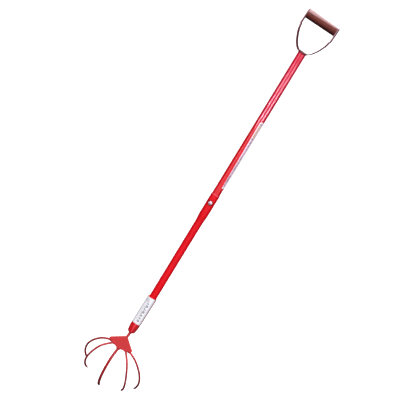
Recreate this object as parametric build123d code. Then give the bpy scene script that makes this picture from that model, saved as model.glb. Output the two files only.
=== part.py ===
from build123d import *
import math
import os

os.makedirs("parts", exist_ok=True)

# Heights below are measured up the shaft from the mouth of the head socket.
# The finished part is moved so that its origin is the clip seat on the shaft.
CLIP_SEAT_Z = 260.0

# upper tube
UPPER_R = 12.7
UPPER_WALL = 1.2
UPPER_BOTTOM_Z = 427.5
UPPER_TOP_Z = 1008.3

# lower tube, with its top end swelled into a socket for the upper tube
LOWER_R = 12.1
LOWER_WALL = 1.2
LOWER_BOTTOM_Z = 40.0
SWELL_START_Z = 404.0
SWELL_END_Z = 426.0
RIM_Z = 502.3
SOCKET_BORE_R = 12.75
SOCKET_R = 13.9

# spring button
BUTTON_Z = 472.0
BUTTON_TURN = 6.0
BUTTON_R = 6.0
BUTTON_DOME_R = 17.0
BUTTON_FLANGE_R = 7.1
BUTTON_SEAT = 7.6
LEAF_REAR = 10.5
TUBE_HOLE_R = 6.3
SOCKET_HOLE_R = 7.6
LEAF_T = 0.9
LEAF_W = 9.0
LEAF_BOTTOM_Z = 436.0

# head socket (the sleeve that joins the lower tube to the head)
SLEEVE_R = 14.8
SLEEVE_TOP_Z = 127.0
SLEEVE_BORE_BOTTOM_Z = 39.0

# D handle
STRAP_W = 24.0
STRAP_T = 3.0
STRAP_LEAN = 2.4
STRAP_GAP = 0.7
HANDLE_SHIFT = -1.3
STRAP_BASE_HALF = 14.0
STRAP_HALF = 53.8
STRAP_BOW = 80.0
STRAP_POWER = 1.5
GRIP_UP = 106.0
GRIP_LEN = 104.0
GRIP_R_LEFT = 15.8
GRIP_R_RIGHT = 14.2
EAR_UP = 14.0
EAR_CORNER = 5.0
RIVET_R = 3.0
RIVET_BORE_R = 3.05

# claw head
HEAD_TILT = 38.0
HEAD_SET = -0.8
HEAD_LEAN = 0.95
HEAD_PIVOT_Z = 118.0
ROD_R = 4.4
TINE_R = 3.4
PLATE_T = 3.0
APEX_Y = -13.0
APEX_Z = -24.0
TANG_TOP_Z = 24.0
TANG_BEND_R = 14.0
TIP_TAPER = 14.0
TIP_R = 1.9

# labels
LABEL_T = 0.25
WRAP_T = 0.6


def mm(z):
    return z - CLIP_SEAT_Z


def disc(r, z0, z1, x=0.0):
    solid = Cylinder(r, z1 - z0, align=(Align.CENTER, Align.CENTER, Align.MIN))
    return Pos(x, 0, mm(z0)) * solid


def turned(points):
    face = make_face(Polyline(*points, close=True))
    return revolve(Plane.XZ * face, axis=Axis.Z)


parts = {}

# ---------------------------------------------------------------- tubes
upper = disc(UPPER_R, UPPER_BOTTOM_Z, UPPER_TOP_Z)
upper -= disc(UPPER_R - UPPER_WALL, UPPER_BOTTOM_Z - 1, UPPER_TOP_Z + 1)

lower_profile = [
    (LOWER_R - LOWER_WALL, mm(LOWER_BOTTOM_Z)),
    (LOWER_R, mm(LOWER_BOTTOM_Z)),
    (LOWER_R, mm(SWELL_START_Z)),
    (SOCKET_R, mm(SWELL_END_Z)),
    (SOCKET_R, mm(RIM_Z - 0.4)),
    (SOCKET_R - 0.4, mm(RIM_Z)),
    (SOCKET_BORE_R, mm(RIM_Z)),
    (SOCKET_BORE_R, mm(SWELL_END_Z)),
    (LOWER_R - LOWER_WALL, mm(SWELL_START_Z)),
]
lower = turned(lower_profile)

button_frame = Rot(0, 0, BUTTON_TURN) * Pos(0, 0, mm(BUTTON_Z))


def radial(r, y0, y1):
    # a round bar along the button axis, from radius y0 to radius y1 out of the tube
    bar = Cylinder(r, y1 - y0, align=(Align.CENTER, Align.CENTER, Align.MIN))
    return button_frame * (Rot(90, 0, 0) * (Pos(0, 0, y0) * bar))


upper -= radial(TUBE_HOLE_R, 5, 20)
lower -= radial(SOCKET_HOLE_R, 5, 20)
parts["upper_tube"] = upper
parts["lower_tube"] = lower

# ---------------------------------------------------------------- spring button
dome_r = 13.0
dome_ball = button_frame * (Pos(0, -(BUTTON_DOME_R - dome_r), 0) * Sphere(dome_r))
button = radial(BUTTON_R, BUTTON_SEAT + 0.5, BUTTON_DOME_R) & dome_ball
button += radial(BUTTON_FLANGE_R, BUTTON_SEAT, BUTTON_SEAT + 1.0)
parts["snap_button"] = button

leaf_len = BUTTON_Z + 5 - LEAF_BOTTOM_Z
front_leaf = Box(LEAF_W, LEAF_T, leaf_len, align=(Align.CENTER, Align.MAX, Align.MAX))
front_leaf = button_frame * (Pos(0, -BUTTON_SEAT + LEAF_T, 5) * front_leaf)
parts["button_leaf_front"] = front_leaf

fold_z = LEAF_BOTTOM_Z - BUTTON_Z - 0.5
front_out = -BUTTON_SEAT
front_in = front_out + LEAF_T
rear_out = LEAF_REAR
rear_in = rear_out - LEAF_T
mid_y = (front_out + rear_out) / 2
fold_r = (rear_out - front_out) / 2
fold_top = 46.0
with BuildSketch(Plane.YZ) as fold_sketch:
    with BuildLine():
        Line((front_out, fold_z), (front_in, fold_z))
        ThreePointArc((front_in, fold_z), (mid_y, fold_z - fold_r + LEAF_T), (rear_in, fold_z))
        Line((rear_in, fold_z), (rear_in, fold_z + fold_top))
        Line((rear_in, fold_z + fold_top), (rear_out, fold_z + fold_top))
        Line((rear_out, fold_z + fold_top), (rear_out, fold_z))
        ThreePointArc((rear_out, fold_z), (mid_y, fold_z - fold_r), (front_out, fold_z))
    make_face()
rear_leaf = extrude(fold_sketch.sketch, amount=LEAF_W / 2, both=True)
parts["button_leaf_rear"] = button_frame * rear_leaf

# ---------------------------------------------------------------- head socket sleeve
sleeve_profile = [
    (0, mm(-1.8)),
    (9.3, mm(-1.8)),
    (10.8, mm(-0.8)),
    (12.2, mm(2.4)),
    (13.5, mm(8.5)),
    (14.3, mm(13.5)),
    (SLEEVE_R, mm(20.0)),
    (SLEEVE_R, mm(SLEEVE_TOP_Z - 1.0)),
    (SLEEVE_R - 1.0, mm(SLEEVE_TOP_Z)),
    (0, mm(SLEEVE_TOP_Z)),
]
sleeve = turned(sleeve_profile)

# ---------------------------------------------------------------- D handle
handle_frame = Pos(HANDLE_SHIFT, 0, mm(UPPER_TOP_Z) + STRAP_GAP) * Rot(0, STRAP_LEAN, 0)
base_mid = STRAP_T / 2


def strap_leg(offset, steps=8):
    # right leg, from the flat base up to where it runs straight, moved sideways by offset
    pts = []
    run = STRAP_HALF - STRAP_BASE_HALF
    q = 2.0 / STRAP_POWER
    for i in range(steps + 1):
        a = math.radians(90.0 * i / steps)
        s = math.sin(a)
        c = math.cos(a)
        x = STRAP_BASE_HALF + run * s ** q
        z = base_mid + STRAP_BOW * (1 - c ** q)
        if i == 0:
            tx, tz = 1.0, 0.0
        elif i == steps:
            tx, tz = 0.0, 1.0
        else:
            tx = run * q * s ** (q - 1) * c
            tz = STRAP_BOW * q * c ** (q - 1) * s
        n = math.hypot(tx, tz)
        pts.append((x + offset * tz / n, z - offset * tx / n))
    return pts


ear_top = base_mid + GRIP_UP + EAR_UP
half_t = STRAP_T / 2
outer_leg = strap_leg(half_t)
inner_leg = strap_leg(-half_t)
flip_outer = [(-x, z) for x, z in outer_leg]
flip_inner = [(-x, z) for x, z in inner_leg]
flat = (1, 0)
rise = (0, 1)
with BuildSketch(Plane.XZ) as strap_sketch:
    with BuildLine():
        Spline(*outer_leg, tangents=(flat, rise))
        Line(outer_leg[-1], (STRAP_HALF + half_t, ear_top))
        Line((STRAP_HALF + half_t, ear_top), (STRAP_HALF - half_t, ear_top))
        Line((STRAP_HALF - half_t, ear_top), inner_leg[-1])
        Spline(*inner_leg, tangents=(flat, rise))
        Line(inner_leg[0], flip_inner[0])
        Spline(*flip_inner, tangents=((-1, 0), rise))
        Line(flip_inner[-1], (-STRAP_HALF + half_t, ear_top))
        Line((-STRAP_HALF + half_t, ear_top), (-STRAP_HALF - half_t, ear_top))
        Line((-STRAP_HALF - half_t, ear_top), flip_outer[-1])
        Spline(*flip_outer, tangents=((-1, 0), rise))
        Line(flip_outer[0], outer_leg[0])
    make_face()
strap = extrude(strap_sketch.sketch, amount=STRAP_W / 2, both=True)

grip_z = base_mid + GRIP_UP
ear_end = RectangleRounded(STRAP_W, 2 * EAR_UP, EAR_CORNER)
ear_round = extrude(Plane.YZ * ear_end, amount=2 * STRAP_HALF, both=True)
ear_block = Box(
    4 * STRAP_HALF, 2 * STRAP_W, STRAP_W,
    align=(Align.CENTER, Align.CENTER, Align.MIN),
)
strap -= Pos(0, 0, grip_z) * (ear_block - ear_round)
strap -= Pos(0, 0, grip_z) * (Rot(0, 90, 0) * Cylinder(RIVET_R, 4 * STRAP_HALF))
parts["handle_strap"] = handle_frame * strap

grip_profile = [
    (RIVET_BORE_R, -GRIP_LEN / 2),
    (GRIP_R_LEFT - 1.0, -GRIP_LEN / 2),
    (GRIP_R_LEFT, -GRIP_LEN / 2 + 1.0),
    (GRIP_R_RIGHT, GRIP_LEN / 2 - 1.0),
    (GRIP_R_RIGHT - 1.0, GRIP_LEN / 2),
    (RIVET_BORE_R, GRIP_LEN / 2),
]
grip = Rot(0, 90, 0) * turned(grip_profile)
parts["wood_grip"] = handle_frame * (Pos(0, 0, grip_z) * grip)

head_h = 0.8
end = STRAP_HALF + half_t
rivet_profile = [
    (0, -end - head_h),
    (2.6, -end - head_h),
    (RIVET_R + 1.2, -end),
    (RIVET_R, -end),
    (RIVET_R, end),
    (RIVET_R + 1.2, end),
    (2.6, end + head_h),
    (0, end + head_h),
]
rivet = Rot(0, 90, 0) * turned(rivet_profile)
parts["grip_rivet"] = handle_frame * (Pos(0, 0, grip_z) * rivet)

weld_ring = Torus(UPPER_R - 0.4, 2.3)
weld_ring = Pos(0, 0, mm(UPPER_TOP_Z) - 0.6) * weld_ring
weld_ring -= disc(UPPER_R, UPPER_TOP_Z - 12, UPPER_TOP_Z)
weld_ring -= disc(UPPER_R - UPPER_WALL, UPPER_TOP_Z - 12, UPPER_TOP_Z + 8)
weld_ring -= parts["handle_strap"]
weld_solids = sorted(weld_ring.solids(), key=lambda s: s.volume)
parts["strap_weld"] = Part() + weld_solids[-1]

# ---------------------------------------------------------------- claw head
tilt = math.radians(HEAD_TILT)
reach = Vector(0, -math.sin(tilt), -math.cos(tilt))
back = Vector(0, math.cos(tilt), -math.sin(tilt))
across = Vector(1, 0, 0)
apex = Vector(0, APEX_Y, mm(APEX_Z))


def bent_rod(radius, start, ahead, side, steps):
    # a round bar: each step is (length, bend in degrees), curving from ahead towards side
    edges = []
    p = start
    heading = 0.0
    for length, bend in steps:
        turn = math.radians(bend)
        d0 = ahead * math.cos(heading) + side * math.sin(heading)
        if abs(turn) < 1e-6:
            q = p + d0 * length
            edges.append(Edge.make_line(p, q))
        else:
            r = length / turn
            ends = []
            for part in (0.5, 1.0):
                a = turn * part
                n0 = side * math.cos(heading) - ahead * math.sin(heading)
                ends.append(p + d0 * (r * math.sin(a)) + n0 * (r * (1 - math.cos(a))))
            q = ends[1]
            edges.append(Edge.make_three_point_arc(p, ends[0], q))
        heading += turn
        p = q
    path = Wire(edges)
    section = Plane(origin=start, z_dir=edges[0].tangent_at(0)) * Circle(radius)
    rod = sweep(section, path=path)
    tip_dir = ahead * math.cos(heading) + side * math.sin(heading)
    return rod, p, tip_dir


def with_tip(rod, radius, at, direction):
    seat = Plane(origin=at, z_dir=direction)
    cone = Cone(radius, TIP_R, TIP_TAPER, align=(Align.CENTER, Align.CENTER, Align.MIN))
    ball = Pos(0, 0, TIP_TAPER) * Sphere(TIP_R)
    return rod + (seat * cone) + (seat * ball)


# tang and centre tine are one bar: down out of the socket, bent forward, under the plate
bend_run = TANG_BEND_R * math.tan(tilt / 2)
corner_to_apex = -APEX_Y / math.sin(tilt)
corner_z = APEX_Z + corner_to_apex * math.cos(tilt)
tang_down = TANG_TOP_Z - corner_z - bend_run
tang_arc = TANG_BEND_R * tilt
tang_start = Vector(0, 0, mm(TANG_TOP_Z))
tang_rod, tang_end, tang_dir = bent_rod(
    ROD_R, tang_start, Vector(0, 0, -1), Vector(0, -1, 0),
    [(tang_down, 0), (tang_arc, HEAD_TILT)],
)
CENTRE_STEPS = [(corner_to_apex - bend_run + 61.0, 0), (32.0, 46.0), (148.0 - TIP_TAPER, 64.0)]
centre_rod, centre_end, centre_dir = bent_rod(ROD_R, tang_end, reach, back, CENTRE_STEPS)
centre = with_tip(tang_rod + centre_rod, ROD_R, centre_end, centre_dir)
parts["tang_and_centre_tine"] = centre

sleeve -= tang_rod
sleeve -= Pos(0, 0, 0) * centre_rod

plate_back = -ROD_R
tine_lift = plate_back + TINE_R


def on_plate(x, y, lift):
    return apex + across * x + reach * y + back * lift


# name: (sideways, along, angle out from the middle, root length, bends)
OUTER = (37.1, 32.9, 77.7, 8.5, [(6.0, 20.0), (33.0, 34.0), (168.0 - TIP_TAPER, 52.0)])
INNER = (25.5, 38.1, 40.5, 18.0, [(18.0, 0.0), (31.0, 52.0), (154.0 - TIP_TAPER, 60.0)])
TINES = {
    "tine_outer_left": (OUTER, -1),
    "tine_inner_left": (INNER, -1),
    "tine_inner_right": (INNER, 1),
    "tine_outer_right": (OUTER, 1),
}
rods = [centre]
exits = {"centre_weld": (on_plate(0, 43.0, 0), reach, ROD_R)}
for name, (spec, side) in TINES.items():
    x, y, angle, root, bends = spec
    out = reach * math.cos(math.radians(angle)) + across * (side * math.sin(math.radians(angle)))
    at = on_plate(side * x, y, tine_lift)
    start = at - out * root
    first = (root + bends[0][0], 0) if bends[0][1] == 0 else (root, 0)
    rest = bends[1:] if bends[0][1] == 0 else bends
    rod, tip_at, tip_dir = bent_rod(TINE_R, start, out, back, [first] + rest)
    tine = with_tip(rod, TINE_R, tip_at, tip_dir)
    parts[name] = tine
    rods.append(tine)
    exits[name.replace("tine_", "weld_")] = (at - out * 3.7, out, TINE_R)

# fan plate: flat sheet with a scalloped front edge, a lobe at each tine
PLATE_RIGHT = [(4.6, -3.0), (40.6, 26.6), (41.0, 32.6), (36.6, 35.4)]
PLATE_NOTCH_OUTER = (32.0, 35.4)
PLATE_LOBE_INNER = [(28.6, 38.4), (24.4, 42.2)]
PLATE_NOTCH_INNER = (14.2, 41.6)
PLATE_LOBE_CENTRE = (5.4, 45.4)
right = PLATE_RIGHT
inner = PLATE_LOBE_INNER
with BuildSketch() as plate_sketch:
    with BuildLine():
        Line((-right[0][0], right[0][1]), right[0])
        Line(right[0], right[1])
        Line(right[1], right[2])
        Line(right[2], right[3])
        ThreePointArc(right[3], PLATE_NOTCH_OUTER, inner[0])
        Line(inner[0], inner[1])
        ThreePointArc(inner[1], PLATE_NOTCH_INNER, PLATE_LOBE_CENTRE)
        Line(PLATE_LOBE_CENTRE, (-PLATE_LOBE_CENTRE[0], PLATE_LOBE_CENTRE[1]))
        ThreePointArc(
            (-PLATE_LOBE_CENTRE[0], PLATE_LOBE_CENTRE[1]),
            (-PLATE_NOTCH_INNER[0], PLATE_NOTCH_INNER[1]),
            (-inner[1][0], inner[1][1]),
        )
        Line((-inner[1][0], inner[1][1]), (-inner[0][0], inner[0][1]))
        ThreePointArc(
            (-inner[0][0], inner[0][1]),
            (-PLATE_NOTCH_OUTER[0], PLATE_NOTCH_OUTER[1]),
            (-right[3][0], right[3][1]),
        )
        Line((-right[3][0], right[3][1]), (-right[2][0], right[2][1]))
        Line((-right[2][0], right[2][1]), (-right[1][0], right[1][1]))
        Line((-right[1][0], right[1][1]), (-right[0][0], right[0][1]))
    make_face()
plate_plane = Plane(origin=apex + back * plate_back, x_dir=across, z_dir=-back)
plate_solid = extrude(plate_sketch.sketch, amount=PLATE_T)
flip = -1 if plate_plane.y_dir.dot(reach) < 0 else 1
if flip < 0:
    plate_solid = mirror(plate_solid, about=Plane.XZ)
plate = plate_plane * plate_solid
parts["fan_plate"] = plate

# one weld bead where each bar leaves the plate: a collar that thins out along the bar
WELD_GAP = 0.04
for name, (at, out, r) in exits.items():
    if name.endswith("_left"):
        continue
    collar = turned([
        (r + WELD_GAP, -3.5),
        (r + 1.2, -3.5),
        (r + 1.9, -2.4),
        (r + 1.9, 0.6),
        (r + 0.4, 3.6),
        (r + WELD_GAP, 3.6),
    ])
    bead = Plane(origin=at, z_dir=out) * collar
    bead -= plate
    solids = sorted(bead.solids(), key=lambda s: s.volume)
    parts[name] = Part() + solids[-1]
    if name.endswith("_right"):
        other_side = mirror(solids[-1], about=Plane.YZ)
        parts[name.replace("_right", "_left")] = Part() + other_side

# weld where the tang leaves the socket
tang_collar = turned([
    (0, -1.8),
    (7.6, -1.8),
    (6.9, -3.2),
    (5.0, -5.4),
    (0, -5.4),
])
tang_bead = Pos(0, 0, mm(0)) * tang_collar
tang_bead -= centre
tang_solids = sorted(tang_bead.solids(), key=lambda s: s.volume)
parts["tang_weld"] = Part() + tang_solids[-1]

# ---------------------------------------------------------------- labels
STRIP_BOTTOM_Z = 528.5
STRIP_TOP_Z = 765.0
STRIP_EDGE_TOP = 2.6
STRIP_EDGE_BOTTOM = 7.4
STRIP_WRAP = 9.4
shell = disc(UPPER_R + LABEL_T, STRIP_BOTTOM_Z, STRIP_TOP_Z)
shell -= disc(UPPER_R, STRIP_BOTTOM_Z - 1, STRIP_TOP_Z + 1)
far = UPPER_R + 4
strip_top = mm(STRIP_TOP_Z)
strip_bottom = mm(STRIP_BOTTOM_Z)
with BuildSketch(Plane.XZ) as strip_sketch:
    with BuildLine():
        Line((STRIP_EDGE_BOTTOM, strip_bottom), (far, strip_bottom))
        Line((far, strip_bottom), (far, strip_top))
        Line((far, strip_top), (STRIP_EDGE_TOP + 5.5, strip_top))
        ThreePointArc(
            (STRIP_EDGE_TOP + 5.5, strip_top),
            (STRIP_EDGE_TOP + 1.8, strip_top - 1.8),
            (STRIP_EDGE_TOP, strip_top - 6.0),
        )
        Line((STRIP_EDGE_TOP, strip_top - 6.0), (STRIP_EDGE_BOTTOM, strip_bottom))
    make_face()
front_half = extrude(strip_sketch.sketch, amount=far)
rear_half = Box(
    far - STRIP_WRAP, far, strip_top - strip_bottom,
    align=(Align.MIN, Align.MIN, Align.MIN),
)
rear_half = Pos(STRIP_WRAP, 0, strip_bottom) * rear_half
parts["upper_label"] = shell & (front_half + rear_half)

WRAP_BOTTOM_Z = 32.0
WRAP_TOP_Z = 125.4
WRAP_FROM = -25.0
WRAP_TO = 15.0
wrap = disc(SLEEVE_R + WRAP_T, WRAP_BOTTOM_Z, WRAP_TOP_Z)
wrap -= disc(SLEEVE_R, WRAP_BOTTOM_Z - 1, WRAP_TOP_Z + 1)
gap_face = [(0, 0)]
for angle in (WRAP_FROM, WRAP_TO):
    a = math.radians(angle)
    gap_face.append((40 * math.cos(a), 40 * math.sin(a)))
gap = extrude(make_face(Polyline(*gap_face, close=True)), amount=WRAP_TOP_Z - WRAP_BOTTOM_Z + 4)
parts["lower_label"] = wrap - Pos(0, 0, mm(WRAP_BOTTOM_Z - 2)) * gap

# ---------------------------------------------------------------- set of the head
# the socket was welded on slightly cocked, so the head leans from the line of the shaft
lean = Pos(HEAD_SET, 0, mm(HEAD_PIVOT_Z)) * Rot(0, HEAD_LEAN, 0) * Pos(0, 0, -mm(HEAD_PIVOT_Z))
sleeve = lean * sleeve
sleeve -= disc(LOWER_R, SLEEVE_BORE_BOTTOM_Z, SLEEVE_TOP_Z + 9)
sleeve_solids = sorted(sleeve.solids(), key=lambda s: s.volume)
parts["head_socket"] = Part() + sleeve_solids[-1]
HEAD_NODES = ["tang_and_centre_tine", "fan_plate", "tang_weld", "lower_label"]
HEAD_NODES += list(TINES) + list(exits)
for name in HEAD_NODES:
    parts[name] = lean * parts[name]

for name, solid in parts.items():
    export_step(solid, "parts/" + name + ".step")
    print(name, len(solid.solids()), round(solid.volume, 1))
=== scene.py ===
"""Finishes, labels, stage and camera for a pull-apart hand cultivator."""

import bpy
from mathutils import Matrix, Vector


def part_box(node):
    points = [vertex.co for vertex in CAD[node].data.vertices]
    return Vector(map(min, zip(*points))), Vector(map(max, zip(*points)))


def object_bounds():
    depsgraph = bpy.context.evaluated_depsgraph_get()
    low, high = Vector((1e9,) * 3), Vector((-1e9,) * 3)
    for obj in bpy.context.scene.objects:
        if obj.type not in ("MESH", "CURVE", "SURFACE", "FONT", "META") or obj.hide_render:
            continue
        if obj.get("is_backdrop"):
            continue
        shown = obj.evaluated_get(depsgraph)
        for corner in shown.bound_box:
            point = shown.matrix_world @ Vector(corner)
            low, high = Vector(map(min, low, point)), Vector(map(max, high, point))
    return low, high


bl_info = {
    "name": "Hand Cultivator",
    "version": (1, 0, 0),
    "blender": (4, 5, 0),
    "location": "View3D > Sidebar > Cultivator",
    "description": "Finishes a five-tine hand cultivator with a pull-apart shaft and a D handle",
    "category": "Object",
}

import math

import bpy
import numpy as np
from mathutils import Matrix, Vector

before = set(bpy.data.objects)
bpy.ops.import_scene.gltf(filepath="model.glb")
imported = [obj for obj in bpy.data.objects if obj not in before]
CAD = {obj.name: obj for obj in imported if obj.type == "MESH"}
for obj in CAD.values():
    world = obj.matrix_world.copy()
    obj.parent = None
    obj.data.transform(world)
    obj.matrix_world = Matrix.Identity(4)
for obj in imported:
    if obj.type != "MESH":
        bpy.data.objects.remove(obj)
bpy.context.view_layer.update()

TUBE_NODES = ("upper_tube", "lower_tube")
BUTTON_TURN = math.radians(6.0)  # the button's way out, from -Y towards +X
# inner and outer radius of the painted shade round the button's hole
HOLE_SHADE_INNER, HOLE_SHADE_OUTER = 0.0086, 0.0098  # where the dark ring round the button's hole fades out
GLOSS_FROM, GLOSS_WHOLE = 0.47, 0.51  # heights between which the upper tube's clear coat comes in
ROSY_WHOLE = 0.53  # height above which the upper tube is fully rosy
WRAP_CENTRE_X = -0.00145  # the head stands this far off the shaft's axis
FLOOR_HALF = 60.0
FLOOR_GAP = 0.0008  # the floor lies this far under the lowest point
STRIP_DISTANCE, STRIP_HEIGHT = 2.6, 0.22
STRIP_TURNS = (("left", -31.0), ("right", 47.0))  # degrees from -Y towards +X
TINE_NODES = ("tine_outer_left", "tine_inner_left", "tine_inner_right", "tine_outer_right")


def shade(red, green, blue):
    """A display colour in steps of 0 to 255, given back as a linear colour."""
    values = np.array([red, green, blue]) / 255.0
    low = values / 12.92
    high = ((values + 0.055) / 1.055) ** 2.4
    return tuple(float(v) for v in np.where(values <= 0.04045, low, high))


def colour_property(name, description, default):
    return bpy.props.FloatVectorProperty(
        name=name,
        description=description,
        default=default,
        size=3,
        min=0.0,
        max=1.0,
        subtype="COLOR",
    )


# ---------------------------------------------------------------- settings
class CultivatorPaint(bpy.types.PropertyGroup):
    """Colours of the enamel on the shaft and the head."""

    tube_red: colour_property("Shaft red", "Enamel of the two tubes", shade(232, 16, 30))
    tube_deep: colour_property("Shaft deep red", "Thicker patches of the shaft enamel", shade(206, 9, 22))
    head_red: colour_property("Head red", "Enamel of the plate and the socket", shade(194, 34, 38))
    head_deep: colour_property("Head deep red", "Thicker patches of the head enamel", shade(176, 26, 32))
    tine_red: colour_property("Tine red", "Enamel of the bent tines", shade(216, 62, 70))
    tine_deep: colour_property("Tine deep red", "Hollows of the tine enamel", shade(162, 44, 50))
    strap_maroon: colour_property("Bow maroon", "Enamel of the flat bow", shade(104, 12, 34))
    strap_deep: colour_property("Bow deep maroon", "Hollows of the bow enamel", shade(66, 6, 20))
    # painted highlight colour of the bow's upper part
    strap_highlight: colour_property("Bow rubbed", "Bow enamel paled towards the grip", shade(206, 160, 168))
    # colour of the real scuffs, and also of the painted highlights on the socket's rim and down its front
    rub_and_highlight: colour_property("Rubbed colour", "Enamel rubbed thin and chalky", shade(240, 96, 112))
    roughness: bpy.props.FloatProperty(
        name="Roughness",
        description="How dull the shaft enamel is",
        default=0.24,
        min=0.05,
        max=1.0,
        subtype="FACTOR",
    )
    peel: bpy.props.FloatProperty(
        name="Orange peel",
        description="Depth of the enamel's skin texture",
        default=0.00006,
        min=0.0,
        max=0.001,
        unit="LENGTH",
    )


class CultivatorGrip(bpy.types.PropertyGroup):
    """Wood of the turned grip."""

    pale: colour_property("Pale wood", "Early wood between the rings", shade(150, 74, 62))
    dark: colour_property("Dark wood", "Late wood, stained", shade(78, 30, 26))
    pore: colour_property("Pore", "Pores and the worn-in dirt", shade(40, 20, 18))
    # colours of the grip's painted shade underneath and painted highlight on top
    under: colour_property("Underside", "Dark tone painted on the underside", shade(30, 2, 8))
    upper: colour_property("Upper side", "Pale tone painted on the upper side", shade(222, 178, 180))
    ring_width: bpy.props.FloatProperty(
        name="Ring width",
        description="Distance between growth rings",
        default=0.0026,
        min=0.0005,
        max=0.02,
        unit="LENGTH",
    )


class CultivatorLabel(bpy.types.PropertyGroup):
    """Film and print of the two labels."""

    film: colour_property("Film", "Unprinted film", shade(255, 252, 254))
    tint: colour_property("Print tint", "Light field printed on the strip", shade(255, 222, 242))
    band: colour_property("Print band", "Warm block at the strip's upper end", shade(206, 168, 96))
    ink: colour_property("Ink", "Dark marks", shade(70, 26, 56))
    wrap_film: colour_property("Wrap film", "Unprinted film of the wrap", shade(248, 254, 253))
    wrap_ink: colour_property("Wrap ink", "Marks on the wrap", shade(104, 92, 112))


class CultivatorStage(bpy.types.PropertyGroup):
    """Camera and soft light."""

    distance: bpy.props.FloatProperty(
        name="Camera distance",
        description="From the camera to the middle of the shaft",
        default=9.0,
        min=1.0,
        unit="LENGTH",
    )
    azimuth: bpy.props.FloatProperty(
        name="Camera azimuth",
        description="Turn of the camera round the upright shaft",
        default=math.radians(8.1675),
        subtype="ANGLE",
        unit="ROTATION",
    )
    elevation: bpy.props.FloatProperty(
        name="Camera elevation",
        description="Height of the camera above level",
        default=math.radians(9.788),
        subtype="ANGLE",
        unit="ROTATION",
    )
    roll: bpy.props.FloatProperty(
        name="Camera roll",
        description="Tilt of the camera, which leans the shaft in its view",
        default=math.radians(31.424),
        subtype="ANGLE",
        unit="ROTATION",
    )
    lens: bpy.props.FloatProperty(
        name="Lens",
        description="Focal length on a 36 mm wide sensor, in millimetres",
        default=266.28,
        min=20.0,
    )
    middle: bpy.props.FloatProperty(
        name="Aim height",
        description="Height on the shaft's axis that the camera is set from",
        default=0.20125,
        unit="LENGTH",
    )
    left_by: bpy.props.FloatProperty(
        name="Aim left by",
        description="How far left of the shaft the camera aims, across its view",
        default=0.02738,
        unit="LENGTH",
    )
    above_by: bpy.props.FloatProperty(
        name="Aim above by",
        description="How far above the aim height the camera aims, up its view",
        default=0.01692,
        unit="LENGTH",
    )
    key: bpy.props.FloatProperty(
        name="Key light",
        description="Strength of the broad light from above and in front",
        default=2.3,
        min=0.0,
    )
    behind: bpy.props.FloatProperty(
        name="Back light",
        description="Strength of the broad light behind the tool",
        default=0.8,
        min=0.0,
    )
    low: bpy.props.FloatProperty(
        name="Low light",
        description="Power of the light near the floor, which fills the tines from below",
        default=5.0,
        min=0.0,
        unit="POWER",
    )
    over: bpy.props.FloatProperty(
        name="Top light",
        description="Power of the light above and behind, which edges the grip and the bow",
        default=50.0,
        min=0.0,
        unit="POWER",
    )
    strips: bpy.props.FloatProperty(
        name="Strip lights",
        description="Power of the two narrow lights that draw lines on the shaft",
        default=17.0,
        min=0.0,
        unit="POWER",
    )


# ---------------------------------------------------------------- node building
class Graph:
    """A node tree, with short ways to add a node, feed its sockets and do sums."""

    def __init__(self, tree):
        self.tree = tree
        self.column = 0

    def feed(self, socket, value):
        if isinstance(value, bpy.types.NodeSocket):
            self.tree.links.new(value, socket)
        elif socket.type == "RGBA" and len(value) == 3:
            socket.default_value = (*value, 1.0)
        else:
            socket.default_value = value

    def add(self, kind, feeds=None, **settings):
        made = self.tree.nodes.new(kind)
        made.location = (self.column, 0)
        self.column += 180
        for key, value in settings.items():
            setattr(made, key, value)
        for key, value in (feeds or {}).items():
            self.feed(made.inputs[key], value)
        return made

    def sum(self, operation, first, second=0.0, third=0.0, clamp=False):
        feeds = {0: first, 1: second, 2: third}
        return self.add("ShaderNodeMath", feeds, operation=operation, use_clamp=clamp).outputs[0]

    def between(self, value, low, high, start=0.0, end=1.0):
        """value taken from the range low to high into the range start to end, and held there."""
        feeds = {"Value": value, "From Min": low, "From Max": high, "To Min": start, "To Max": end}
        made = self.add("ShaderNodeMapRange", feeds, interpolation_type="SMOOTHSTEP", clamp=True)
        return made.outputs["Result"]

    def blend(self, factor, first, second):
        made = self.add("ShaderNodeMix", {0: factor, 6: first, 7: second}, data_type="RGBA")
        return made.outputs[2]

    def noise(self, place, scale, detail=2.0, rough=0.5):
        feeds = {"Vector": place, "Scale": scale, "Detail": detail, "Roughness": rough}
        return self.add("ShaderNodeTexNoise", feeds).outputs[0]

    def place(self):
        return self.add("ShaderNodeTexCoord").outputs["Object"]

    def stretched(self, place, scale, location=(0.0, 0.0, 0.0)):
        feeds = {"Vector": place, "Location": location, "Scale": scale}
        return self.add("ShaderNodeMapping", feeds).outputs[0]

    def window(self, value, low, high, soft):
        """1 between low and high, falling to 0 over soft outside them."""
        rise = self.between(value, low - soft, low + soft)
        fall = self.between(value, high - soft, high + soft, 1.0, 0.0)
        return self.sum("MULTIPLY", rise, fall)


def new_group(name, inputs, outputs):
    """An empty shader node group with these named sockets, as a Graph with .given and .gives."""
    tree = bpy.data.node_groups.new(name, "ShaderNodeTree")
    for label, kind, value in inputs:
        socket = tree.interface.new_socket(name=label, in_out="INPUT", socket_type=kind)
        socket.default_value = (*value, 1.0) if kind == "NodeSocketColor" else value
    for label, kind in outputs:
        tree.interface.new_socket(name=label, in_out="OUTPUT", socket_type=kind)
    graph = Graph(tree)
    graph.given = tree.nodes.new("NodeGroupInput").outputs
    graph.gives = tree.nodes.new("NodeGroupOutput").inputs
    return graph


COLOUR, NUMBER = "NodeSocketColor", "NodeSocketFloat"


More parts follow.
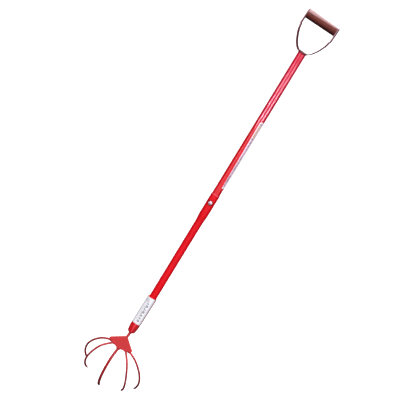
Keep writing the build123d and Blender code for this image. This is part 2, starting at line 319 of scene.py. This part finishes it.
def enamel_group():
    """Enamel sprayed on steel: soft mottling, orange peel, lengthwise scuffs and small chips."""
    name = "sprayed_enamel"
    if name in bpy.data.node_groups:
        return bpy.data.node_groups[name]
    g = new_group(
        name,
        [
            ("Colour", COLOUR, (0.7, 0.02, 0.02)),
            ("Deep Colour", COLOUR, (0.4, 0.01, 0.01)),
            ("Rub Colour", COLOUR, (0.8, 0.3, 0.3)),
            ("Mottle", NUMBER, 0.5),
            ("Scuff", NUMBER, 0.3),
            ("Chips", NUMBER, 0.2),
            ("Dullness", NUMBER, 0.3),
        ],
        [("Colour", COLOUR), ("Roughness", NUMBER), ("Height", NUMBER)],
    )
    here = g.place()
    broad = g.between(g.noise(here, 34.0, 3.0), 0.32, 0.68)
    fine = g.noise(here, 260.0, 3.0, 0.6)
    mottle = g.sum("MULTIPLY_ADD", fine, 0.55, g.sum("MULTIPLY", broad, 0.6))
    mottle = g.sum("MULTIPLY", mottle, g.given["Mottle"], clamp=True)
    colour = g.blend(mottle, g.given["Colour"], g.given["Deep Colour"])
    along = g.noise(g.stretched(here, (420.0, 420.0, 26.0)), 1.0, 2.0)
    where = g.between(g.noise(here, 16.0, 2.0), 0.48, 0.62)
    scuff = g.sum("MULTIPLY", g.between(along, 0.60, 0.72), where)
    scuff = g.sum("MULTIPLY", scuff, g.given["Scuff"], clamp=True)
    colour = g.blend(scuff, colour, g.given["Rub Colour"])
    chip = g.between(g.noise(here, 190.0, 1.0), 0.735, 0.765)
    chip = g.sum("MULTIPLY", chip, g.given["Chips"], clamp=True)
    colour = g.blend(chip, colour, shade(62, 50, 50))
    dull = g.sum("MULTIPLY_ADD", fine, 0.12, g.given["Dullness"])
    dull = g.sum("MULTIPLY_ADD", scuff, 0.3, dull)
    dull = g.sum("MULTIPLY_ADD", chip, 0.3, dull, clamp=True)
    peel = g.noise(here, 620.0, 2.0)
    height = g.sum("MULTIPLY_ADD", broad, 0.6, peel)
    height = g.sum("MULTIPLY_ADD", chip, -1.6, height)
    g.feed(g.gives["Colour"], colour)
    g.feed(g.gives["Roughness"], dull)
    g.feed(g.gives["Height"], height)
    return g.tree


def grain_group():
    """Straight-grained wood lying along X: growth rings about an off-centre pith, fibres and pores."""
    name = "long_grain"
    if name in bpy.data.node_groups:
        return bpy.data.node_groups[name]
    g = new_group(
        name,
        [
            ("Pale", COLOUR, (0.4, 0.2, 0.15)),
            ("Dark", COLOUR, (0.1, 0.03, 0.03)),
            ("Pore Colour", COLOUR, (0.02, 0.01, 0.01)),
            ("Ring Width", NUMBER, 0.003),
        ],
        [("Colour", COLOUR), ("Roughness", NUMBER), ("Height", NUMBER)],
    )
    here = g.place()
    wander = g.noise(g.stretched(here, (14.0, 60.0, 60.0)), 1.0, 3.0)
    split = g.add("ShaderNodeSeparateXYZ", {0: here}).outputs
    off_y = g.sum("ADD", split[1], 0.021)
    off_z = g.sum("SUBTRACT", split[2], 0.879)
    away = g.sum("SQRT", g.sum("ADD", g.sum("MULTIPLY", off_y, off_y), g.sum("MULTIPLY", off_z, off_z)))
    away = g.sum("MULTIPLY_ADD", wander, 0.006, away)
    turns = g.sum("DIVIDE", away, g.given["Ring Width"])
    ring = g.sum("PINGPONG", turns, 0.5)
    ring = g.between(ring, 0.08, 0.46)
    fibre = g.noise(g.stretched(here, (60.0, 900.0, 900.0)), 1.0, 4.0, 0.65)
    tone = g.sum("MULTIPLY_ADD", fibre, 0.7, g.sum("MULTIPLY", ring, 0.5))
    tone = g.between(tone, 0.2, 0.95)
    colour = g.blend(tone, g.given["Pale"], g.given["Dark"])
    pore = g.noise(g.stretched(here, (110.0, 1500.0, 1500.0), (3.0, 0.0, 0.0)), 1.0, 1.0)
    pore = g.between(pore, 0.60, 0.68)
    hand = g.between(g.noise(here, 30.0, 3.0), 0.45, 0.75)
    colour = g.blend(g.sum("MULTIPLY", pore, 0.75), colour, g.given["Pore Colour"])
    colour = g.blend(g.sum("MULTIPLY", hand, 0.35), colour, g.given["Pore Colour"])
    dull = g.sum("MULTIPLY_ADD", tone, 0.12, 0.42)
    dull = g.sum("MULTIPLY_ADD", pore, 0.2, dull, clamp=True)
    height = g.sum("MULTIPLY_ADD", pore, -1.2, g.sum("MULTIPLY", fibre, 0.8))
    g.feed(g.gives["Colour"], colour)
    g.feed(g.gives["Roughness"], dull)
    g.feed(g.gives["Height"], height)
    return g.tree


def steel_group():
    """Bare or plated steel: fine draw lines, faint staining and small pits."""
    name = "drawn_steel"
    if name in bpy.data.node_groups:
        return bpy.data.node_groups[name]
    g = new_group(
        name,
        [
            ("Colour", COLOUR, (0.6, 0.6, 0.6)),
            ("Stain Colour", COLOUR, (0.2, 0.15, 0.1)),
            ("Stain", NUMBER, 0.3),
            ("Dullness", NUMBER, 0.3),
        ],
        [("Colour", COLOUR), ("Roughness", NUMBER), ("Height", NUMBER)],
    )
    here = g.place()
    lines = g.noise(g.stretched(here, (1400.0, 1400.0, 160.0)), 1.0, 2.0)
    stain = g.between(g.noise(here, 150.0, 4.0, 0.6), 0.5, 0.72)
    stain = g.sum("MULTIPLY", stain, g.given["Stain"], clamp=True)
    colour = g.blend(stain, g.given["Colour"], g.given["Stain Colour"])
    dull = g.sum("MULTIPLY_ADD", lines, 0.14, g.given["Dullness"])
    dull = g.sum("MULTIPLY_ADD", stain, 0.3, dull, clamp=True)
    pits = g.between(g.noise(here, 900.0, 1.0), 0.66, 0.74)
    height = g.sum("MULTIPLY_ADD", pits, -1.0, lines)
    g.feed(g.gives["Colour"], colour)
    g.feed(g.gives["Roughness"], dull)
    g.feed(g.gives["Height"], height)
    return g.tree


def marks_group():
    """A column of printed dashes: Along runs down the column and Across runs over its width."""
    name = "printed_dashes"
    if name in bpy.data.node_groups:
        return bpy.data.node_groups[name]
    g = new_group(
        name,
        [
            ("Along", NUMBER, 0.0),
            ("Across", NUMBER, 0.0),
            ("Pitch", NUMBER, 0.004),
            ("Middle", NUMBER, 0.0),
            ("Half Width", NUMBER, 0.002),
            ("Unevenness", NUMBER, 0.5),
        ],
        [("Mask", NUMBER)],
    )
    steps = g.sum("DIVIDE", g.given["Along"], g.given["Pitch"])
    which = g.sum("FLOOR", steps)
    part = g.sum("SUBTRACT", steps, which)
    seed = g.add("ShaderNodeTexWhiteNoise", {"W": which}, noise_dimensions="1D").outputs["Value"]
    length = g.sum("MULTIPLY_ADD", seed, 0.42, 0.40)
    dash = g.sum("LESS_THAN", part, length)
    drift = g.sum("MULTIPLY", g.sum("SUBTRACT", seed, 0.5), g.given["Unevenness"])
    half = g.sum("MULTIPLY_ADD", g.sum("MULTIPLY", drift, g.given["Half Width"]), 1.0, g.given["Half Width"])
    off = g.sum("ABSOLUTE", g.sum("SUBTRACT", g.given["Across"], g.given["Middle"]))
    inside = g.sum("LESS_THAN", off, half)
    g.feed(g.gives["Mask"], g.sum("MULTIPLY", dash, inside))
    return g.tree


def new_material(name):
    """A material holding only a Principled shader and its output, as a Graph with .shader."""
    made = bpy.data.materials.new(name)
    made.use_nodes = True
    made.node_tree.nodes.clear()
    graph = Graph(made.node_tree)
    graph.material = made
    graph.shader = graph.add("ShaderNodeBsdfPrincipled")
    output = graph.add("ShaderNodeOutputMaterial")
    made.node_tree.links.new(graph.shader.outputs[0], output.inputs[0])
    return graph


def surface(graph, effect, bump, strength=0.6):
    """Joins an effect group's roughness and height to the material's shader."""
    graph.feed(graph.shader.inputs["Roughness"], effect.outputs["Roughness"])
    feeds = {"Height": effect.outputs["Height"], "Distance": bump, "Strength": strength}
    graph.feed(graph.shader.inputs["Normal"], graph.add("ShaderNodeBump", feeds).outputs[0])


def enamel(name, colour, deep, rub_and_highlight, mottle, scuff, chips, dull, peel, level):
    """Enamel in one colour. level is the shader's specular level."""
    g = new_material(name)
    effect = g.add("ShaderNodeGroup", node_tree=enamel_group())
    values = {
        "Colour": colour,
        "Deep Colour": deep,
        "Rub Colour": rub_and_highlight,
        "Mottle": mottle,
        "Scuff": scuff,
        "Chips": chips,
        "Dullness": dull,
    }
    for key, value in values.items():
        g.feed(effect.inputs[key], value)
    surface(g, effect, peel)
    g.shader.inputs["Specular IOR Level"].default_value = level
    g.effect = effect
    return g


def steel(name, colour, stain_colour, stain, dull, metallic=1.0):
    g = new_material(name)
    effect = g.add("ShaderNodeGroup", node_tree=steel_group())
    values = {"Colour": colour, "Stain Colour": stain_colour, "Stain": stain, "Dullness": dull}
    for key, value in values.items():
        g.feed(effect.inputs[key], value)
    g.feed(g.shader.inputs["Base Color"], effect.outputs["Colour"])
    g.shader.inputs["Metallic"].default_value = metallic
    surface(g, effect, 0.00003)
    return g.material


def wear(node, material):
    """Gives one CAD node its only material."""
    if node not in CAD:
        raise RuntimeError("there is no CAD node named " + node)
    piece = CAD[node]
    if not piece.material_slots:
        piece.data.materials.append(None)
    for slot in piece.material_slots:
        slot.link = "OBJECT"
        slot.material = material


# ---------------------------------------------------------------- operators
class CULTIVATOR_OT_tubes(bpy.types.Operator):
    """Paint the two tubes of the shaft"""

    bl_idname = "cultivator.tubes"
    bl_label = "Shaft tubes"

    def execute(self, context):
        paint = context.scene.cultivator_paint
        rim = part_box("lower_tube")[1].z
        low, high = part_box("snap_button")
        button_z = (low.z + high.z) / 2
        across = math.cos(BUTTON_TURN)
        ahead = math.sin(BUTTON_TURN)
        for node in TUBE_NODES:
            g = enamel(
                "enamel_" + node,
                tuple(paint.tube_red),
                tuple(paint.tube_deep),
                tuple(paint.rub_and_highlight),
                0.55,
                0.03,
                0.25 if node == "upper_tube" else 0.4,
                paint.roughness,
                paint.peel,
                0.5 if node == "upper_tube" else 0.14,
            )
            colour = g.effect.outputs["Colour"]
            split = g.add("ShaderNodeSeparateXYZ", {0: g.place()}).outputs
            high = split[2]
            # painted shade: a dark ring round the button's hole, where the gap round the button falls in
            # shadow
            lateral = g.sum("MULTIPLY_ADD", split[0], across, g.sum("MULTIPLY", split[1], ahead))
            rise = g.sum("SUBTRACT", high, button_z)
            away = g.sum("ADD", g.sum("MULTIPLY", lateral, lateral), g.sum("MULTIPLY", rise, rise))
            ring = g.between(g.sum("SQRT", away), HOLE_SHADE_INNER, HOLE_SHADE_OUTER, 1.0, 0.0)
            ring = g.sum("MULTIPLY", ring, g.sum("LESS_THAN", split[1], 0.0))
            colour = g.blend(g.sum("MULTIPLY", ring, 0.7), colour, shade(96, 6, 18))
            if node == "lower_tube":
                # painted highlight: a pale band at the top of the socket's rolled rim, where its edge
                # catches the light
                rim_highlight = g.between(high, rim - 0.0038, rim - 0.0022)
                colour = g.blend(g.sum("MULTIPLY", rim_highlight, 0.8), colour, tuple(paint.rub_and_highlight))
            else:
                # rosier enamel above the strip label
                rosy = g.between(high, GLOSS_FROM, ROSY_WHOLE)
                colour = g.blend(g.sum("MULTIPLY", rosy, 0.75), colour, shade(230, 20, 66))
                # a faint ring where the rim has stopped against the sliding tube
                slid = g.window(high, rim - 0.045, rim - 0.004, 0.004)
                colour = g.blend(g.sum("MULTIPLY", slid, 0.2), colour, tuple(paint.tube_deep))
                # the glossy coat is whole only above the strip label
                g.feed(g.shader.inputs["Coat Weight"], g.between(high, GLOSS_FROM, GLOSS_WHOLE))
                g.shader.inputs["Coat Roughness"].default_value = 0.13
            g.feed(g.shader.inputs["Base Color"], colour)
            wear(node, g.material)
        return {"FINISHED"}


class CULTIVATOR_OT_head(bpy.types.Operator):
    """Paint the socket, the fan plate and the five tines"""

    bl_idname = "cultivator.head"
    bl_label = "Cultivator head"

    def execute(self, context):
        paint = context.scene.cultivator_paint
        rub_and_highlight = tuple(paint.rub_and_highlight)
        finishes = {
            "head_socket": (paint.tube_red, paint.head_deep, 0.5, 0.3, 0.4, 0.30, 0.3),
            "fan_plate": (paint.head_red, paint.head_deep, 0.5, 0.3, 0.5, 0.42, 0.35),
            "tang_and_centre_tine": (paint.head_red, paint.tine_deep, 0.7, 0.3, 0.6, 0.42, 0.3),
        }
        for node in TINE_NODES:
            finishes[node] = (paint.tine_red, paint.tine_deep, 0.8, 0.3, 0.7, 0.46, 0.3)
        for node, (colour, deep, mottle, scuff, chips, dull, level) in finishes.items():
            g = enamel(
                "enamel_" + node, tuple(colour), tuple(deep), rub_and_highlight,
                mottle, scuff, chips, dull, paint.peel, level,
            )
            out = g.effect.outputs["Colour"]
            if node in TINE_NODES or node == "tang_and_centre_tine":
                # earth has polished the last of each tine through to dark steel
                high = g.add("ShaderNodeSeparateXYZ", {0: g.place()}).outputs[2]
                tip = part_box(node)[0].z
                ragged = g.sum("MULTIPLY", g.noise(g.place(), 120.0, 3.0), 0.022)
                reach = g.between(g.sum("SUBTRACT", high, ragged), tip - 0.012, tip + 0.006, 1.0, 0.0)
                out = g.blend(g.sum("MULTIPLY", reach, 0.3), out, shade(112, 52, 52))
            if node == "head_socket":
                # painted light: a pale highlight stripe down the front, and painted shade on the side
                # towards +X
                split = g.add("ShaderNodeSeparateXYZ", {0: g.place()}).outputs
                side = g.sum("ARCTAN2", split[0], g.sum("MULTIPLY", split[1], -1.0))
                highlight_stripe = g.sum("MULTIPLY", g.window(side, -0.10, 0.16, 0.05), 0.45)
                out = g.blend(highlight_stripe, out, rub_and_highlight)
                dark = g.sum("MULTIPLY", g.window(side, 0.42, 1.9, 0.15), 0.5)
                out = g.blend(dark, out, tuple(paint.tine_deep))
            g.feed(g.shader.inputs["Base Color"], out)
            wear(node, g.material)
        return {"FINISHED"}


class CULTIVATOR_OT_welds(bpy.types.Operator):
    """Paint the weld beads of the head and the handle"""

    bl_idname = "cultivator.welds"
    bl_label = "Weld beads"

    def execute(self, context):
        paint = context.scene.cultivator_paint
        for node in CAD:
            if "weld" not in node:
                continue
            tone = paint.head_deep
            if node == "strap_weld":
                tone = paint.strap_maroon
            elif node == "tang_weld":
                tone = paint.tube_deep
            g = enamel(
                "enamel_" + node, tuple(tone), tuple(paint.tine_deep), tuple(paint.rub_and_highlight),
                0.8, 0.2, 0.4, 0.4, 0.0003, 0.3,
            )
            g.feed(g.shader.inputs["Base Color"], g.effect.outputs["Colour"])
            wear(node, g.material)
        return {"FINISHED"}


class CULTIVATOR_OT_handle(bpy.types.Operator):
    """Paint the flat bow and finish the grip's rivet"""

    bl_idname = "cultivator.handle"
    bl_label = "Handle bow"

    def execute(self, context):
        paint = context.scene.cultivator_paint
        g = enamel(
            "enamel_handle_strap",
            tuple(paint.strap_maroon),
            tuple(paint.strap_deep),
            tuple(paint.rub_and_highlight),
            0.7,
            0.3,
            0.5,
            0.34,
            paint.peel,
            0.4,
        )
        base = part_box("handle_strap")[0].z
        split = g.add("ShaderNodeSeparateXYZ", {0: g.place()}).outputs
        # painted highlight: the bow turns pale from above its base up towards the grip, where the top light
        # catches it
        thin = g.between(split[2], base + 0.045, base + 0.095)
        colour = g.blend(g.sum("MULTIPLY", thin, 0.6), g.effect.outputs["Colour"], tuple(paint.strap_highlight))
        g.feed(g.shader.inputs["Base Color"], colour)
        wear("handle_strap", g.material)
        wear("grip_rivet", steel("steel_rivet", shade(150, 146, 144), shade(90, 60, 46), 0.5, 0.34))
        return {"FINISHED"}


class CULTIVATOR_OT_grip(bpy.types.Operator):
    """Stain the turned wooden grip"""

    bl_idname = "cultivator.grip"
    bl_label = "Wooden grip"

    def execute(self, context):
        wood = context.scene.cultivator_grip
        g = new_material("stained_wood")
        effect = g.add("ShaderNodeGroup", node_tree=grain_group())
        values = {
            "Pale": tuple(wood.pale),
            "Dark": tuple(wood.dark),
            "Pore Colour": tuple(wood.pore),
            "Ring Width": wood.ring_width,
        }
        for key, value in values.items():
            g.feed(effect.inputs[key], value)
        # painted shade on the underside and a pale painted highlight on the upper side, both on the wood, so
        # they turn with it
        low, high = (corner.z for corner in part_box("wood_grip"))
        span = high - low
        up = g.add("ShaderNodeSeparateXYZ", {0: g.place()}).outputs[2]
        shade_below = g.between(up, low + 0.08 * span, low + 0.62 * span, 1.0, 0.0)
        colour = g.blend(g.sum("MULTIPLY", shade_below, 0.9), effect.outputs["Colour"], tuple(wood.under))
        highlight_above = g.between(up, low + 0.66 * span, low + 0.84 * span)
        colour = g.blend(g.sum("MULTIPLY", highlight_above, 0.85), colour, tuple(wood.upper))
        g.feed(g.shader.inputs["Base Color"], colour)
        surface(g, effect, 0.00008)
        g.shader.inputs["Specular IOR Level"].default_value = 0.15
        wear("wood_grip", g.material)
        return {"FINISHED"}


class CULTIVATOR_OT_button(bpy.types.Operator):
    """Plate the snap button and finish its leaf spring"""

    bl_idname = "cultivator.button"
    bl_label = "Snap button"

    def execute(self, context):
        plated = steel("plated_button", shade(214, 190, 200), shade(130, 84, 94), 0.35, 0.36, 0.8)
        spring = steel("spring_steel", shade(120, 122, 130), shade(80, 62, 50), 0.4, 0.36)
        wear("snap_button", plated)
        wear("button_leaf_front", spring)
        wear("button_leaf_rear", spring)
        return {"FINISHED"}


class CULTIVATOR_OT_labels(bpy.types.Operator):
    """Print the strip label and the wrapped label with plain marks"""

    bl_idname = "cultivator.labels"
    bl_label = "Labels"

    def around(self, g, place, centre_x):
        """Angle about an upright axis, zero towards -Y and growing towards +X, and the height."""
        split = g.add("ShaderNodeSeparateXYZ", {0: place}).outputs
        ahead = g.sum("MULTIPLY", split[1], -1.0)
        side = g.sum("SUBTRACT", split[0], centre_x)
        return g.sum("ARCTAN2", side, ahead), split[2]

    def dashes(self, g, along, across, pitch, middle, half, uneven):
        made = g.add("ShaderNodeGroup", node_tree=marks_group())
        values = {
            "Along": along,
            "Across": across,
            "Pitch": pitch,
            "Middle": middle,
            "Half Width": half,
            "Unevenness": uneven,
        }
        for key, value in values.items():
            g.feed(made.inputs[key], value)
        return made.outputs["Mask"]

    def film(self, g, colour, place):
        """Creases, a little dirt and the satin of the film."""
        dirt = g.between(g.noise(place, 90.0, 4.0, 0.6), 0.52, 0.8)
        colour = g.blend(g.sum("MULTIPLY", dirt, 0.18), colour, shade(170, 150, 150))
        crease = g.noise(g.stretched(place, (240.0, 240.0, 40.0)), 1.0, 2.0)
        g.feed(g.shader.inputs["Base Color"], colour)
        g.feed(g.shader.inputs["Roughness"], g.sum("MULTIPLY_ADD", dirt, 0.2, 0.36))
        bump = g.add("ShaderNodeBump", {"Height": crease, "Distance": 0.0001, "Strength": 0.5})
        g.feed(g.shader.inputs["Normal"], bump.outputs[0])

    def execute(self, context):
        look = context.scene.cultivator_label
        low, high = (corner.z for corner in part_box("upper_label"))
        g = new_material("strip_film")
        here = g.place()
        turn, up = self.around(g, here, 0.0)
        inner = g.window(up, low + 0.004, high - 0.004, 0.0006)
        field = g.sum("MULTIPLY", inner, g.window(turn, 0.36, 1.3, 0.03))
        colour = g.blend(g.sum("MULTIPLY", field, 0.75), tuple(look.film), tuple(look.tint))
        warm_up = g.window(up, high - 0.055, high - 0.010, 0.0006)
        warm = g.sum("MULTIPLY", warm_up, g.window(turn, 0.52, 0.86, 0.02))
        colour = g.blend(g.sum("MULTIPLY", warm, 0.9), colour, tuple(look.band))
        marks = self.dashes(g, up, turn, 0.0040, 0.80, 0.13, 0.5)
        marks = g.sum("MULTIPLY", marks, g.window(up, low + 0.008, high - 0.062, 0.0006))
        colour = g.blend(g.sum("MULTIPLY", marks, 0.9), colour, tuple(look.ink))
        upper_dot = g.window(up, high - 0.0095, high - 0.0055, 0.0005)
        lower_dot = g.window(up, high - 0.062, high - 0.057, 0.0005)
        dots = g.sum("ADD", upper_dot, lower_dot)
        dots = g.sum("MULTIPLY", dots, g.window(turn, 0.56, 0.86, 0.02), clamp=True)
        colour = g.blend(dots, colour, tuple(look.ink))
        self.film(g, colour, here)
        wear("upper_label", g.material)

        low, high = (corner.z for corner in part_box("lower_label"))
        g = new_material("wrap_film")
        here = g.place()
        turn, up = self.around(g, here, WRAP_CENTRE_X)
        colour = tuple(look.wrap_film)
        lilac = g.window(turn, 0.75, 1.3, 0.2)
        colour = g.blend(g.sum("MULTIPLY", lilac, 0.4), colour, shade(206, 200, 220))
        panel = g.window(turn, -0.30, 0.32, 0.08)
        colour = g.blend(g.sum("MULTIPLY", panel, 0.22), colour, shade(176, 178, 184))
        # painted shade: a darker purple band down the label's right edge, the side turned from the light
        edge_shade = g.window(turn, 1.06, 1.9, 0.06)
        colour = g.blend(g.sum("MULTIPLY", edge_shade, 0.6), colour, shade(150, 116, 138))
        first = self.dashes(g, up, turn, 0.0105, 0.22, 0.17, 0.5)
        second = self.dashes(g, g.sum("ADD", up, 0.003), turn, 0.0062, -0.02, 0.08, 0.9)
        marks = g.sum("MAXIMUM", first, second)
        marks = g.sum("MULTIPLY", marks, g.window(up, low + 0.008, high - 0.012, 0.0006))
        colour = g.blend(g.sum("MULTIPLY", marks, 0.7), colour, tuple(look.wrap_ink))
        seal_up = g.sum("DIVIDE", g.sum("SUBTRACT", up, high - 0.011), 0.0068)
        seal_turn = g.sum("DIVIDE", g.sum("SUBTRACT", turn, -0.42), 0.44)
        squares = g.sum("MULTIPLY", seal_up, seal_up), g.sum("MULTIPLY", seal_turn, seal_turn)
        away = g.sum("SQRT", g.sum("ADD", *squares))
        ring = g.sum("ADD", g.window(away, 0.78, 0.98, 0.06), g.window(away, -0.1, 0.4, 0.06), clamp=True)
        colour = g.blend(g.sum("MULTIPLY", ring, 0.5), colour, tuple(look.wrap_ink))
        small = self.dashes(g, up, turn, 0.0034, -0.28, 0.22, 0.8)
        small = g.sum("MULTIPLY", small, g.window(up, low + 0.012, high - 0.026, 0.0006))
        colour = g.blend(g.sum("MULTIPLY", small, 0.12), colour, tuple(look.wrap_ink))
        self.film(g, colour, here)
        wear("lower_label", g.material)
        return {"FINISHED"}


class CULTIVATOR_OT_stage(bpy.types.Operator):
    """Lay the floor, hang the lights and set the camera"""

    bl_idname = "cultivator.stage"
    bl_label = "Stage"

    def light(self, name, kind, energy, place, towards, **settings):
        data = bpy.data.lights.new(name, kind)
        data.energy = energy
        for key, value in settings.items():
            setattr(data, key, value)
        made = bpy.data.objects.new(name, data)
        made.location = place
        aim = Vector(towards) - Vector(place)
        made.rotation_euler = aim.to_track_quat("-Z", "Y").to_euler()
        bpy.context.scene.collection.objects.link(made)

    def execute(self, context):
        settings = context.scene.cultivator_stage
        scene = context.scene
        scene.view_settings.view_transform = "Standard"
        scene.view_settings.look = "None"

        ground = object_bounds()[0].z - FLOOR_GAP
        ways = ((-1, -1), (1, -1), (1, 1), (-1, 1))
        corners = [(x * FLOOR_HALF, y * FLOOR_HALF, ground) for x, y in ways]
        mesh = bpy.data.meshes.new("floor")
        mesh.from_pydata(corners, [], [(0, 1, 2, 3)])
        mesh.update()
        floor = bpy.data.objects.new("floor", mesh)
        scene.collection.objects.link(floor)
        g = new_material("pale_floor")
        g.shader.inputs["Base Color"].default_value = (0.8, 0.8, 0.8, 1.0)
        g.shader.inputs["Roughness"].default_value = 0.9
        g.shader.inputs["Specular IOR Level"].default_value = 0.1
        g.shader.inputs["Emission Color"].default_value = (1.0, 1.0, 1.0, 1.0)
        g.shader.inputs["Emission Strength"].default_value = 1.0
        mesh.materials.append(g.material)
        floor.visible_glossy = False
        floor.visible_diffuse = False
        floor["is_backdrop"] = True

        world = bpy.data.worlds.new("soft_room")
        world.use_nodes = True
        world.node_tree.nodes["Background"].inputs["Color"].default_value = (0.93, 0.95, 1.0, 1.0)
        world.node_tree.nodes["Background"].inputs["Strength"].default_value = 0.05
        scene.world = world

        self.light("key", "SUN", settings.key, (0.3, -2.5, 2.0), (0, 0, 0), angle=math.radians(30))
        for side, turn in STRIP_TURNS:
            a = math.radians(turn)
            place = (STRIP_DISTANCE * math.sin(a), -STRIP_DISTANCE * math.cos(a), STRIP_HEIGHT)
            self.light(
                "strip_" + side, "AREA", settings.strips, place, (0, 0, 0.70),
                shape="RECTANGLE", size=0.4, size_y=0.26, color=(0.95, 0.82, 1.0),
            )
        self.light(
            "over", "AREA", settings.over, (-0.3, 1.5, 3.2), (0, 0, 0.85),
            shape="RECTANGLE", size=2.2, size_y=1.0,
        )

        self.light("back", "SUN", settings.behind, (-0.8, 2.5, 1.2), (0, 0, 0), angle=math.radians(30))
        self.light(
            "low", "AREA", settings.low, (0.3, -1.9, -0.30), (0, 0, -0.42),
            shape="RECTANGLE", size=1.6, size_y=0.25,
        )

        a, e = settings.azimuth, settings.elevation
        back = Vector((math.sin(a) * math.cos(e), -math.cos(a) * math.cos(e), math.sin(e)))
        level = Vector((0, 0, 1)).cross(back).normalized()
        upward = back.cross(level)
        turned = math.cos(settings.roll), math.sin(settings.roll)
        right = level * turned[0] + upward * turned[1]
        up = upward * turned[0] - level * turned[1]
        aim = Vector((0, 0, settings.middle)) - right * settings.left_by + up * settings.above_by
        data = bpy.data.cameras.new("camera")
        data.lens = settings.lens
        data.sensor_width = 36.0
        data.clip_end = 200.0
        camera = bpy.data.objects.new("camera", data)
        turn = Matrix((right, up, back)).transposed().to_4x4()
        camera.matrix_world = Matrix.Translation(aim + back * settings.distance) @ turn
        scene.collection.objects.link(camera)
        scene.camera = camera
        return {"FINISHED"}


class CULTIVATOR_PT_panel(bpy.types.Panel):
    """Lists the pieces and their settings"""

    bl_idname = "CULTIVATOR_PT_panel"
    bl_label = "Hand Cultivator"
    bl_space_type = "VIEW_3D"
    bl_region_type = "UI"
    bl_category = "Cultivator"

    def draw(self, context):
        for operator in OPERATORS:
            self.layout.operator(operator.bl_idname)
        for group in SETTINGS:
            box = self.layout.box()
            owner = getattr(context.scene, group)
            for key in SETTINGS[group].__annotations__:
                box.prop(owner, key)


OPERATORS = (
    CULTIVATOR_OT_tubes,
    CULTIVATOR_OT_head,
    CULTIVATOR_OT_welds,
    CULTIVATOR_OT_handle,
    CULTIVATOR_OT_grip,
    CULTIVATOR_OT_button,
    CULTIVATOR_OT_labels,
    CULTIVATOR_OT_stage,
)
SETTINGS = {
    "cultivator_paint": CultivatorPaint,
    "cultivator_grip": CultivatorGrip,
    "cultivator_label": CultivatorLabel,
    "cultivator_stage": CultivatorStage,
}


def register():
    for cls in (*SETTINGS.values(), *OPERATORS, CULTIVATOR_PT_panel):
        bpy.utils.register_class(cls)
    for name, group in SETTINGS.items():
        setattr(bpy.types.Scene, name, bpy.props.PointerProperty(type=group))


def unregister():
    for name in SETTINGS:
        delattr(bpy.types.Scene, name)
    for cls in (CULTIVATOR_PT_panel, *reversed(OPERATORS), *reversed(SETTINGS.values())):
        bpy.utils.unregister_class(cls)


def main():
    register()
    bpy.ops.cultivator.tubes()
    bpy.ops.cultivator.head()
    bpy.ops.cultivator.welds()
    bpy.ops.cultivator.handle()
    bpy.ops.cultivator.grip()
    bpy.ops.cultivator.button()
    bpy.ops.cultivator.labels()
    bpy.ops.cultivator.stage()


if __name__ == "__main__":
    main()
